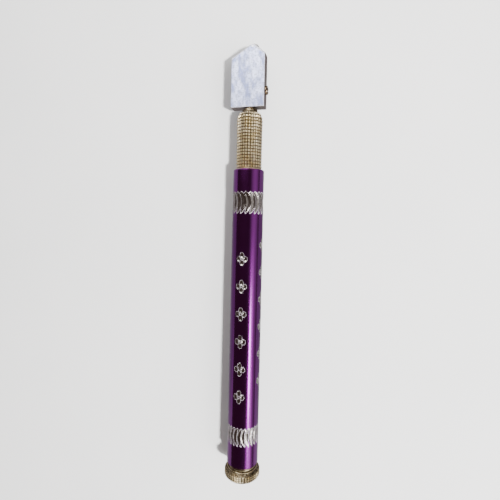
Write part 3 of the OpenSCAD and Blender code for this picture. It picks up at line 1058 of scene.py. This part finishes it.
cap_low, cap_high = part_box("end_cap")
cap_r = cap_high[0]
cap_back = cap_low[1]
cap_face = tube_low[1] - 0.65 * mm
plug_end = cap_high[1]
dome_t = 1.3 * mm
rim_length = 2.3 * mm
rim_back = cap_back + dome_t
rim_front = rim_back + rim_length
mill_depth = 0.36 * mm
mill_columns = 40
mill_rings = 3
mill_floor = cap_r - mill_depth
step_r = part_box("rear_bush")[1][0] - 0.1 * mm
wide_r = step_r + 0.5 * mm
wide_y = cap_face - 0.7 * mm
soft = 0.12 * mm  # radius on the edges of the steps
round_steps = 8
cone_steps = 6
cone_start = (step_r + 0.42 * mm, cap_face - 1.24 * mm)
cone_end = (mill_floor - 0.12 * mm, rim_front + 0.1 * mm)
dome_angles = range(6, 90, 6)  # degrees


def rounded(radius, y):
    """Points round the outer front edge of a step."""
    points = []
    for k in range(round_steps + 1):
        angle = math.radians(90 - 90 * k / round_steps)
        points.append((radius - soft + soft * math.cos(angle), y - soft + soft * math.sin(angle)))
    return points


def cap_outline():
    """The cap's section from its plug back to its dome."""
    cone = []
    for k in range(1, cone_steps + 1):
        share = k / cone_steps
        radius = cone_start[0] + (cone_end[0] - cone_start[0]) * share
        cone.append((radius, cone_start[1] + (cone_end[1] - cone_start[1]) * share))
    dome = []
    for angle in dome_angles:
        a = math.radians(angle)
        y = rim_back - 0.08 * mm - (dome_t - 0.08 * mm) * math.sin(a)
        dome.append(((mill_floor - 0.14 * mm) * math.cos(a), y))
    return [
        (0.0, plug_end),
        (spigot_r - 0.4 * mm, plug_end),
        (spigot_r, plug_end - 0.4 * mm),
        (spigot_r, cap_face),
        (step_r - soft, cap_face),
        *rounded(step_r, cap_face),
        (step_r, cap_face - 0.68 * mm),
        (wide_r - soft, wide_y),
        *rounded(wide_r, wide_y),
        (wide_r, cap_face - 1.15 * mm),
        cone_start,
        *cone,
        (mill_floor, rim_front),
        (mill_floor, rim_back),
        (mill_floor - 0.1 * mm, rim_back - 0.06 * mm),
        *dome,
        (0.0, cap_back),
    ]


def cap_dirt_and_shade(co):
    """Dark in the rim's grooves, from old oil and painted shade; half dark on the dome; elsewhere
    darker away from the steps' edges, which stay pale.
    """
    # the rim's grooves: old oil with painted shade
    if rim_back - 0.05 * mm < co.y < rim_front + 0.05 * mm:
        return min(1.0, max(0.0, (cap_r - 0.03 * mm - off_axis(co)) / (0.22 * mm)))
    if co.y < rim_back:
        return 0.5
    edges = [(step_r, cap_face), (wide_r, wide_y), (mill_floor, rim_front)]
    away = min(math.hypot(off_axis(co) - radius, co.y - y) for radius, y in edges)
    return 0.35 + 0.65 * min(1.0, away / (0.3 * mm))


vertices, faces = lathed(cap_outline(), 3 * mill_columns)
milled = {
    "Columns": mill_columns,
    "Rings": mill_rings,
    "Radius": mill_floor,
    "Start": rim_back + rim_length / mill_rings / 2,
    "Gap": rim_length / mill_rings,
    "Depth": mill_depth,
    "Top": 0.22 * mm,
    "Drop": 0.0,
    "Drop start": 0.0,
}
cap = grown("end_cap_milled", vertices, faces, knurl_tree("milled_rim", nickel), milled)
store_dirt_and_shade(cap, cap_dirt_and_shade)
stands_for(cap, "end_cap", "nickel_brass", "end_cap")

# ----------------------------------------------------------------- the studio
# A pale matt table under the tool, which rests on its cap's rim, and soft lights
# from the right and from the wheel's end.

table_z = cap_low[2]
table_half = 1.5
square = ((-1, -1), (1, -1), (1, 1), (-1, 1))
roll = math.radians(14.5)
tilt = math.radians(1.3)
camera_away = 148.4 * mm
back = Vector((math.sin(roll), 0, math.cos(roll)))
level = Vector((math.cos(roll), 0, -math.sin(roll)))
along = Vector((0, 1, 0))
right = level * math.cos(tilt) + along * math.sin(tilt)
up = along * math.cos(tilt) - level * math.sin(tilt)
aim = Vector((0, tube_high[1] - 20.43 * mm, 0)) + right * 0.94 * mm


def painted_table():
    """Matt off-white board with a very slight unevenness."""
    material, tree, shader, place = new_material("painted_table")
    uneven = add(tree, "ShaderNodeTexNoise", {"Vector": place, "Scale": 1 / (60 * mm), "Detail": 3})
    share = add(tree, "ShaderNodeMapRange", {0: uneven, 1: 0.3, 2: 0.7})
    fill(tree, shader, {
        "Base Color": add(
            tree, "ShaderNodeMix", {0: share, 6: "#E4E3E2", 7: "#DFDFDE"}, **rgba
        ),
        "Roughness": 0.6,
    })  # fmt: skip
    return material


def glowing_reflection_board():
    """A glowing board, a painted reflection of the table, with a painted shadow that dims it beside
    the middle of the tool.
    """
    material, tree, shader, place = new_material("glowing_reflection_board")
    y = add(tree, "ShaderNodeSeparateXYZ", {0: place}, out=1)
    off_middle = add(tree, "ShaderNodeMath", {0: y}, operation="ABSOLUTE")
    # painted shadow of the tool: about two thirds as bright within 35 mm of its middle, full beyond
    # 65 mm
    reach = {0: off_middle, 1: 35 * mm, 2: 65 * mm, 3: 0.66, 4: 1.0}
    fill(tree, shader, {
        "Base Color": "#000000",
        "Emission Color": "#AAA6AC",
        "Emission Strength": add(tree, "ShaderNodeMapRange", reach, **soft_step),
    })  # fmt: skip
    return material


flat = [(x * table_half, y * table_half, table_z) for x, y in square]
table = own("table", flat, [(0, 1, 2, 3)], painted_table())
table.visible_glossy = False

# the metal mirrors a glowing board that lies square to the camera, in place of the table: a painted
# reflection of the table
facing = [(level * x + along * y) * table_half - back * cap_r for x, y in square]
mirrored_board = own("mirrored_board", facing, [(0, 1, 2, 3)], glowing_reflection_board())
mirrored_board.visible_camera = False
mirrored_board.visible_diffuse = False
mirrored_board.visible_shadow = False


def turned_to(x_axis, y_axis, z_axis):
    """A matrix that turns an object's axes to three directions."""
    return Matrix((x_axis, y_axis, z_axis)).transposed().to_4x4()


lens = bpy.data.cameras.new("camera")
lens.lens = 26.0
lens.shift_y = -0.06
lens.clip_start = 5 * mm
camera = bpy.data.objects.new("camera", lens)
bpy.context.scene.collection.objects.link(camera)
camera.matrix_world = turned_to(right, up, back)
camera.location = aim + back * camera_away
bpy.context.scene.camera = camera


def soft_light(name, towards, away, size, power, seen_by="both", fade=(0.0, 0.0)):
    """A rectangular soft light that looks at the tool from a direction. Its glow fades
    towards its sides over a share of its width and of its length. It lights the matt
    surfaces, or the mirror-like ones, or both."""
    made = bpy.data.lights.new(name, "AREA")
    made.shape = "RECTANGLE"
    made.size, made.size_y = size
    made.energy = power
    made.use_nodes = True
    tree = made.node_tree
    spot = add(tree, "ShaderNodeNewGeometry", {}, out="Parametric")
    sides = []
    for k, share in enumerate(fade):
        at = add(tree, "ShaderNodeSeparateXYZ", {0: spot}, out=k)
        inside = add(tree, "ShaderNodeMath", {0: at, 1: 0.5}, operation="PINGPONG")
        reach = max(share, 0.001)  # never quite sharp
        sides.append(add(tree, "ShaderNodeMapRange", {0: inside, 1: 0, 2: reach}, **soft_step))
    glow = add(tree, "ShaderNodeMath", {0: sides[0], 1: sides[1]}, operation="MULTIPLY")
    fill(tree, tree.nodes["Emission"], {"Strength": glow})
    lamp = bpy.data.objects.new(name, made)
    bpy.context.scene.collection.objects.link(lamp)
    direction = Vector(towards).normalized()
    side = along.cross(direction).normalized()
    lamp.matrix_world = turned_to(side, direction.cross(side), direction)
    lamp.location = direction * away
    lamp.visible_glossy = seen_by != "matt"
    lamp.visible_diffuse = seen_by != "mirrors"


def seen_at(degrees, ahead=0.0):
    """A direction at an angle from the camera's, towards the right, and leaning ahead."""
    turn = math.radians(degrees) + roll
    lean = math.radians(ahead)
    sideways = Vector((math.sin(turn), 0, math.cos(turn)))
    return sideways * math.cos(lean) + along * math.sin(lean)


soft_light("wall", seen_at(52), 0.6, (1.0, 1.6), 2.7, fade=(0.5, 0.2))
soft_light("window", seen_at(42, -30), 0.6, (0.42, 0.75), 1.5, fade=(0.35, 0.3))
soft_light("pane", seen_at(37, -23), 0.55, (0.1, 0.3), 2.7, fade=(0.3, 0.5))
soft_light("key", (0.6, -0.24, 0.88), 1.09, (0.08, 0.08), 38.0, "matt")
soft_light("ceiling", (0, 0.1, 1), 1.2, (1.6, 1.6), 2.4, "matt")
soft_light("side", seen_at(38), 0.9, (0.7, 0.9), 9.0, "matt")
soft_light("far_end", seen_at(-29, 38), 0.6, (0.46, 0.26), 3.6, "mirrors")
soft_light("front", (-0.25, 0.95, 0.12), 0.5, (0.55, 0.26), 1.3, "mirrors", (0.2, 0.2))
soft_light("rear", (0.25, -0.95, 0.16), 0.5, (0.6, 0.26), 1.5, "mirrors", (0.2, 0.2))
soft_light("far_fill", seen_at(-20, 55), 0.3, (0.3, 0.2), 0.42, "matt")
soft_light("glint_front", seen_at(12, 52), 0.5, (0.07, 0.07), 0.35, "mirrors")
soft_light("glint_rear", seen_at(20, -60), 0.5, (0.07, 0.07), 0.25, "mirrors")

# what the metal mirrors is a dim warm room; the backdrop behind the table is pale
world = bpy.data.worlds.new("studio")
bpy.context.scene.world = world
world.use_nodes = True
sky = world.node_tree
dim_room = sky.nodes["Background"]
fill(sky, dim_room, {"Color": "#4B403C"})
backdrop = add(sky, "ShaderNodeBackground", {"Color": "#D9D9D8"})
looked_at = add(sky, "ShaderNodeLightPath", {}, out="Is Camera Ray")
either = add(sky, "ShaderNodeMixShader", {0: looked_at, 1: dim_room.outputs[0], 2: backdrop})
fill(sky, sky.nodes["World Output"], {"Surface": either})
